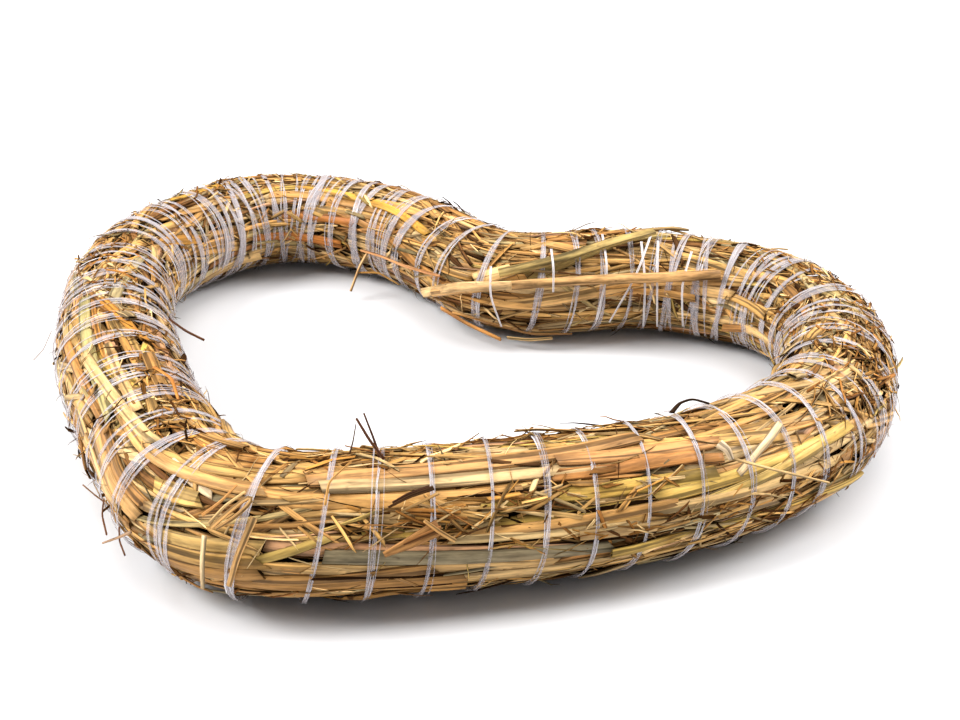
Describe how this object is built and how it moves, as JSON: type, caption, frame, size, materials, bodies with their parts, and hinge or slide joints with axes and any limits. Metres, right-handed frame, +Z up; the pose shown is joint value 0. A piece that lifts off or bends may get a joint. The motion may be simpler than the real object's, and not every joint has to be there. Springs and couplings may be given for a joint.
{
  "type": "straw heart ornament",
  "caption": "Heart-shaped wreath base: a thick rope of straw stalks bent to a heart and bound all round with a flat white film thread; it lies flat and is decorated or left plain.",
  "frame": {"origin": "on the underside, in the middle of the heart's width and length", "axes": "+Z up, square to the heart's plane; +Y from the heart's tip to its cleft; +X towards its right lobe, seen from above"},
  "size_m": [0.2998, 0.25, 0.0409],
  "materials": {
    "straw": "matt dry straw, with a slight waxy sheen on the whole stalks",
    "thread": "whitish, slightly translucent film thread with a soft gloss"
  },
  "bodies": {
    "root": {"straw_rope": "straw", "binding_thread": "thread"}
  },
  "joints": []
}
